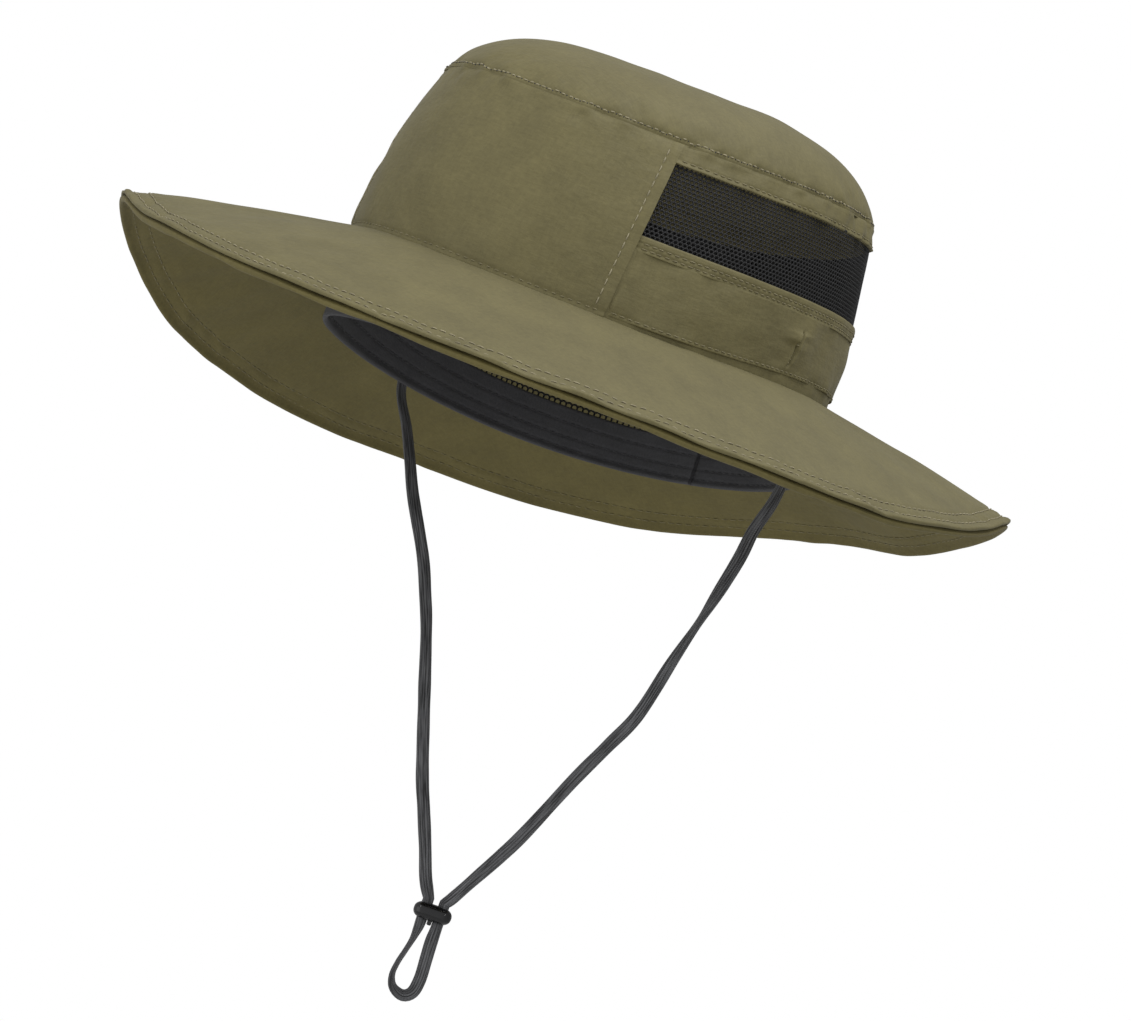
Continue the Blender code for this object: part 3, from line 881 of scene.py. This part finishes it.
def upper_brim_relief(angle, share, side):
    edge, rows, apart, soft = ply_parts(angle, share, 66, 0.0007)
    roll = 0.0006 * near(edge, 0.0016, 0.0014)
    turned = ring_noise(angle, 190, edge / 0.006, 65, edge / 0.004) * near(edge, 0.0045, 0.0060)
    turned *= 1 + 0.8 * near(angle, 305, 30)
    return brim_wave(angle, share) + apart + (roll - rows + 0.00055 * turned) * side + soft


def lower_brim_relief(angle, share, side):
    """Its face looks down, so what stands out of the cloth goes the other way."""
    edge, rows, apart, soft = ply_parts(angle, share, 68, 0.0008)
    roll = 0.0010 * near(edge, 0.0004, 0.0016)
    between = ring_noise(angle, 150, edge / 0.007, 67, -edge / 0.005) * near(edge, 0.0060, 0.0055)
    return brim_wave(angle, share) - apart - (roll - rows + 0.00050 * between + soft) * (1 - side)


def brim_uv(angle, share):
    reach = HEAD_RADIUS + np.maximum(share, 0) * BRIM_WIDTH
    turn = np.radians(angle)
    return np.stack([np.sin(turn) * reach, -np.cos(turn) * reach], -1)


def make_brim(top, under):
    step = 1 / BRIM_WIDTH
    rounded = 0.0005 * step
    many, few = 66, 10
    angles = np.arange(0, 360, ROUND_STEP)
    # Most rows are near the free edge, where the stitching is.
    near_edge = 1 - np.array((0.0126, 0.0115, 0.0104, 0.0096, 0.0088, 0.0080, 0.0072, 0.0064, 0.0056, 0.0048,
                              0.0040, 0.0032, 0.0024, 0.0018, 0.0012, 0.0006)) * step
    shares = np.r_[-1, -0.5, np.linspace(0, near_edge[0] - 0.02, 47), near_edge, 1 - rounded]
    shares[0] += rounded
    loop = section(-1, 1, 0, BRIM_PLY, many, few, step)
    loop[:many, 0] = shares
    upper = shell("brim_upper_cloth", "brim_upper", loop, angles, brim_point, top, upper_brim_relief,
                  ring=True, flat_uv=brim_uv, flip=True)
    # The lower ply is drawn the same way from its hidden face, with most of its rows on the face that shows.
    loop = section(-1, 1 + rounded, 0, BRIM_PLY, few, many, step)
    loop[:, 1] += BRIM_PLY + PLY_GAP
    first = few + 5
    shares[-1] = 1
    loop[first:first + many, 0] = shares[::-1]
    lower = shell("brim_lower_cloth", "brim_lower", loop, angles, brim_point, under, lower_brim_relief,
                  ring=True, flat_uv=brim_uv, flip=True)
    return upper, lower


# The sweatband

BAND_SEAM = 187.0                       # angle of its overlap
SWEAT_ROWS = (0.0050, 0.0098, 0.0136)   # distances of its rows below its upper edge


def sweat_relief(angle, drop, side):
    down = drop - NET_DROP
    rows = sum(near(down, row, 0.0006) for row in SWEAT_ROWS)
    swell = 0.0004 * near(down, 0.0152, 0.0008)
    waves = 0.0006 * ring_noise(angle, 24, 0.5, 71) + 0.0003 * ring_noise(angle, 60, down / 0.01, 72)
    # The face towards the head shows, so its relief goes inwards.
    face = 1 - side
    tugs = 0.00018 * ring_noise(angle, 150, down / 0.004, 73)
    overlap = 0.0011 * ease((angle - BAND_SEAM) / 0.25) * ease(1 - (angle - BAND_SEAM) / 5.0)
    ditch = 0.0006 * near(angle, BAND_SEAM - 0.25, 0.25)
    return waves * 0.5 - (swell - 0.00030 * rows + tugs + overlap - ditch) * face


def band_hang(angle, drop, depth):
    """The sweatband's surface, pulled up a little along its upper edge on the wearer's front right."""
    point = hanging_point(angle, drop, depth)
    share = (drop - NET_DROP) / SWEATBAND_HEIGHT
    point[..., 2] += 0.0075 * near(np.broadcast_to(angle, point.shape[:-1]), 305, 30) * (1 - share)
    return point


def make_sweatband(material):
    loop = section(NET_DROP - 0.0002, NET_DROP + SWEATBAND_HEIGHT, 0, SWEATBAND, 14, 56)
    angles = np.sort(np.r_[np.arange(0, 360, 0.9), BAND_SEAM + np.arange(-0.7, 0.5, 0.07)])
    return shell("sweatband_knit", "sweatband", loop, angles, band_hang, material, sweat_relief,
                 ring=True, flip=True)


# The chin cord and its lock

def smooth_route(points, step):
    """Points at an even step along a smooth curve through the route's own points."""
    points = [np.asarray(p, float) for p in points]
    fine = []
    padded = [2 * points[0] - points[1]] + points + [2 * points[-1] - points[-2]]
    for before, start, end, after in zip(padded, padded[1:], padded[2:], padded[3:]):
        for i in range(16):
            s = i / 16
            curve = 2 * start + (end - before) * s
            curve = curve + (2 * before - 5 * start + 4 * end - after) * s * s
            curve = curve + (3 * start - before - 3 * end + after) * s ** 3
            fine.append(curve / 2)
    fine = np.array(fine + [points[-1]])
    run = run_along(fine)
    count = max(1, round(run[-1] / step))
    wanted = np.linspace(0, run[-1], count + 1)
    return np.stack([np.interp(wanted, run, fine[:, k]) for k in range(3)], -1)


def cord_route(step):
    """The cord's middle line, from the wearer's right through the lock, round the loop and back up."""
    turn = math.radians(LOCK_TURN)
    across = np.array((math.cos(turn), math.sin(turn), 0.0))
    side = across * LOCK_SPACING / 2
    lift = np.array((0, 0, LOCK_HEIGHT / 2 + CORD_DIAMETER / 4))
    above, below = LOCK_CENTRE + lift, LOCK_CENTRE - lift
    loop = [LOCK_CENTRE + across * a + np.array((0, 0, down)) for a, down in LOOP]
    loop = [above - side, below - side] + loop + [below + side, above + side]
    return np.concatenate([smooth_route(list(RIGHT_LEG) + [above - side], step), smooth_route(loop, step)[1:],
                           smooth_route([above + side] + list(LEFT_LEG), step)[1:]])


# Where along the cord (share of its length) its flat face has turned, in degrees from facing the camera
TWIST = ((0.0, 20), (0.06, 50), (0.12, 30), (0.17, -15), (0.24, 35), (0.30, -10), (0.36, 12), (0.42, 0),
         (0.445, 30), (0.458, 80), (0.488, 80), (0.504, 30), (0.518, 5), (0.555, 0), (0.60, 25), (0.68, -15),
         (0.76, 12), (0.80, 30), (0.845, 72), (0.88, 20), (0.92, -20), (0.96, -50), (1.0, -70))
CORD_WIDTH = 0.0048
CORD_THICKNESS = 0.0019
CORD_ROUND = 0.0115                # the way round it
SQUEEZED = (0.0021, 0.0014)        # half its width and thickness in the lock


def make_cord(material):
    route = cord_route(0.0010)
    run = run_along(route)
    share = run / run[-1]
    tangent = np.gradient(route, axis=0)
    for _ in range(3):
        tangent[1:-1] = (tangent[:-2] + 2 * tangent[1:-1] + tangent[2:]) / 4
    tangent = unit(tangent)
    turn = math.radians(CAMERA_TURN)
    side = unit(np.cross(tangent, np.array((math.sin(turn), -math.cos(turn), 0.0))))
    face = np.cross(side, tangent)
    kernel = np.hanning(15)
    twist = np.pad(np.interp(share, *np.array(TWIST, float).T), 7, mode="edge")
    twist = np.radians(np.convolve(twist, kernel / kernel.sum(), "valid"))[:, None]
    wide = side * np.cos(twist) + face * np.sin(twist)
    flat = face * np.cos(twist) - side * np.sin(twist)
    # The lock squeezes it rounder.
    away = np.linalg.norm(route - LOCK_CENTRE, axis=-1)
    squeeze = ease(1 - (away - 0.0045) / 0.006)[:, None]
    soft = 1 + 0.05 * noise(run / 0.009, 0.5, 81)[:, None]
    half = (CORD_WIDTH / 2 * soft) * (1 - squeeze) + SQUEEZED[0] * squeeze
    thick = (CORD_THICKNESS / 2) * (1 - squeeze) + SQUEEZED[1] * squeeze
    count = 16
    t = np.arange(count) * 2 * math.pi / count
    c, s = np.cos(t), np.sin(t)
    x = np.sign(c) * np.abs(c) ** 0.8
    # The flat faces are a little hollow, as on a folded band.
    y = np.sign(s) * np.abs(s) ** 0.75 * (1 - 0.22 * near(c, 0, 0.45))
    points = (route[:, None, :] + wide[:, None, :] * (half * x[None, :])[..., None]
              + flat[:, None, :] * (thick * y[None, :])[..., None])
    n = len(route)
    i, j = (v.ravel() for v in np.meshgrid(np.arange(n - 1), np.arange(count), indexing="ij"))
    j2 = (j + 1) % count
    faces = np.stack([i * count + j, i * count + j2, (i + 1) * count + j2, (i + 1) * count + j], -1)
    around = np.append(t, 2 * math.pi) / (2 * math.pi) * CORD_ROUND
    uv = corner_uv(around, run, j, i)[:, :, ::-1]
    faces = faces.tolist() + [list(range(count - 1, -1, -1)), list(range((n - 1) * count, n * count))]
    uv = np.concatenate([uv.reshape(-1, 2), np.zeros((2 * count, 2))])
    made = add_mesh("chin_cord_ribbon", points, faces, material, "chin_cord", uv)
    return made, route, float(run[-1])


PASSAGE_RADIUS = 0.0023


def make_lock(material):
    mesh = bmesh.new()
    bmesh.ops.create_uvsphere(mesh, u_segments=64, v_segments=40, radius=1)
    half = (LOCK_WIDTH / 2, LOCK_DEPTH / 2, LOCK_HEIGHT / 2)
    for vert in mesh.verts:
        x, y, z = (math.copysign(abs(c) ** power, c) for c, power in zip(vert.co, (0.72, 0.85, 0.80)))
        # Its two ends swell a little over its middle.
        swell = 0.90 + 0.10 * min(1, abs(x) / 0.6) ** 2
        vert.co = Vector((x * half[0], y * half[1] * swell, z * half[2] * swell))
    data = bpy.data.meshes.new("cord_lock_bead")
    mesh.to_mesh(data)
    mesh.free()
    made = linked("cord_lock_bead", data)
    cutters = []
    for side in (-1, 1):
        bpy.ops.mesh.primitive_cylinder_add(vertices=40, radius=PASSAGE_RADIUS, depth=0.02,
                                            location=(side * LOCK_SPACING / 2, 0, 0))
        cutter = bpy.context.object
        cut = made.modifiers.new("passage", "BOOLEAN")
        cut.operation = "DIFFERENCE"
        cut.solver = "EXACT"
        cut.object = cutter
        cutters.append(cutter)
    graph = bpy.context.evaluated_depsgraph_get()
    shaped = bpy.data.meshes.new_from_object(made.evaluated_get(graph))
    made.modifiers.clear()
    for cutter in cutters:
        bpy.data.objects.remove(cutter)
    tab = bmesh.new()
    tab.from_mesh(shaped)
    made_tab = bmesh.ops.create_cube(tab, size=1, matrix=Matrix.Translation((0, 0, -LOCK_HEIGHT * 0.52))
                                     @ Matrix.Diagonal((0.0017, 0.0036, 0.0020, 1)))
    edges = list(dict.fromkeys(edge for vert in made_tab["verts"] for edge in vert.link_edges))
    bmesh.ops.bevel(tab, geom=edges, offset=0.00025, segments=2, affect="EDGES")
    tab.to_mesh(shaped)
    tab.free()
    turned = Matrix.Rotation(math.radians(LOCK_TURN), 4, "Z")
    shaped.transform(Matrix.Translation(Vector(LOCK_CENTRE)) @ turned)
    made.data = shaped
    shaped.materials.clear()
    shaped.materials.append(material)
    shaped.shade_smooth()
    shaped.set_sharp_from_angle(angle=math.radians(45))
    return filed(made, "cord_lock")


# Stitching

def relieved(point, relief, side=1.0):
    """The same surface with its relief, so that stitches lie on the cloth as it is."""
    def with_relief(angle, station, depth):
        angle, station, depth = np.broadcast_arrays(angle, station, depth)
        return point(angle, station, depth - relief(angle, station, side + 0 * angle))
    return with_relief


PROUD = 0.00012           # how far the middle of a thread lies out of the cloth


def make_stitches(light, quiet, dark):
    """Every row of stitches, as one piece for each kind of thread and place, and the painted shade of the
    needle's holes in the crown's top seam.
    """
    wall = relieved(wall_point, panel_relief)
    upper = relieved(wall_point, upper_relief)
    facing = relieved(wall_point, facing_relief)
    band = relieved(band_point, band_relief)
    tip = relieved(tip_point, tip_relief)
    top = relieved(brim_point, upper_brim_relief)
    under = relieved(brim_point, lower_brim_relief, 0.0)
    sweat = relieved(band_hang, sweat_relief, 0.0)
    sides = (SEAM_ANGLE + 1.2, 360 - SEAM_ANGLE - 1.2)
    facing_depth, band_depth = -FACING_PROUD - PROUD, -BAND_PROUD - PROUD
    rows = [stitch_row(wall, BASE_ROW, (1.0 - SEAM_ANGLE, SEAM_ANGLE - 1.0), -PROUD / 2, fill=0.6, seed=7),
            stitch_row(upper, VENT_TOP + UPPER_ROW, sides, -UPPER_PROUD - PROUD)]
    rows += [stitch_row(facing, VENT_BOTTOM - row, sides, facing_depth, seed=6) for row in FACING_ROWS]
    rows.append(stitch_row(band, BAND_FOLD + HEM_ROW, sides, band_depth))
    spread = 0.0008 / WALL_DEGREE
    for k, height in enumerate(np.linspace(0.006, 0.0185, 9)):
        off = TACK + (0.4 if k % 2 else -0.1) * spread
        rows.append(stitch_row(band, height, (off - spread, off + spread), band_depth, 0.0018, 0.95))
    on_crown = sewn("crown_stitches", rows, 0.00023, quiet)

    seam, span = SEAM_ANGLE - PANEL_ROW / WALL_DEGREE, (0.003, WALL_HEIGHT - 0.003)
    rows = [stitch_row(wall, side * seam, span, -PROUD, 0.0035, 0.80, "station", seed=5) for side in (-1, 1)]
    rows.append(stitch_row(tip, SEAM_ROW / TIP_RUN, (0, 360), -PROUD, 0.0027, 0.58, wobble=0.004, seed=3))
    on_seams = sewn("seam_stitches", rows, 0.00027, light)

    shares = [(k, 1 - row / BRIM_WIDTH, (0.3 * k, 360 + 0.3 * k)) for k, row in enumerate(SEWN_ROWS)]
    rows = [stitch_row(top, share, span, -0.0002, 0.0034, seed=8 + k) for k, share, span in shares]
    on_brim = sewn("brim_stitches", rows, 0.00027, light)
    depth = 2 * BRIM_PLY + PLY_GAP + PROUD
    rows = [stitch_row(under, share, span, depth, 0.0034, 0.78, seed=18 + k) for k, share, span in shares]
    under_brim = sewn("brim_under_stitches", rows, 0.00022, quiet, face=-1)
    rows = [stitch_row(sweat, NET_DROP + down, (0, 360), SWEATBAND + PROUD, 0.0032, 0.75, seed=28 + k)
            for k, down in enumerate(SWEAT_ROWS)]
    on_sweatband = sewn("sweatband_stitches", rows, 0.00018, dark, -1)
    # Painted shade: short dark threads stand for the needle's holes, which show dark between the stitches of
    # the seam round the crown's top.
    rows = [stitch_row(tip, (SEAM_ROW - 0.0002) / TIP_RUN, (0.97, 360.97), -PROUD / 2, 0.0027, 0.16,
                       wobble=0.004, seed=3)]
    holes = sewn("seam_hole_shade", rows, 0.00026, dark)
    return on_seams, on_brim, under_brim, on_sweatband, holes, on_crown


# The scene

look_at_hat()
light_up()

CORD, ROUTE, CORD_LENGTH = make_cord(cord_weave("cord_weave", CORD_COLOUR))
LOCK = make_lock(gloss("lock_gloss", LOCK_COLOUR))

OLIVE = olive("olive_weave", CLOTH_COLOUR)
# A darker copy of the olive cloth, with the shade under the brim painted into its colour.
UNDER_PAINTED_SHADE = olive("olive_under_painted_shade", UNDER_PAINTED_SHADE_COLOUR)
TAN = thread("tan_thread", THREAD_COLOUR)
DARK_THREAD_AND_HOLE_SHADE = thread("dark_thread_and_hole_shade", DARK_THREAD_AND_HOLE_SHADE_COLOUR)
BLACK_NET = dark_net("black_net", NET_COLOUR)
KNIT = knit("grey_knit", SWEATBAND_COLOUR)
OLIVE_THREAD = thread("olive_thread", OLIVE_THREAD_COLOUR)

TIP = make_crown_tip(OLIVE)
PANEL = make_front_panel(OLIVE)
UPPER, FACING, LOWER, BAND = make_sides(OLIVE)
BRIM_TOP, BRIM_UNDER = make_brim(OLIVE, UNDER_PAINTED_SHADE)
VENT_NET, LINING_NET = make_nets(BLACK_NET)
SWEAT = make_sweatband(KNIT)
ON_SEAMS, ON_BRIM, UNDER_BRIM, ON_SWEATBAND, HOLE_SHADE, ON_CROWN = make_stitches(TAN, OLIVE_THREAD, DARK_THREAD_AND_HOLE_SHADE)
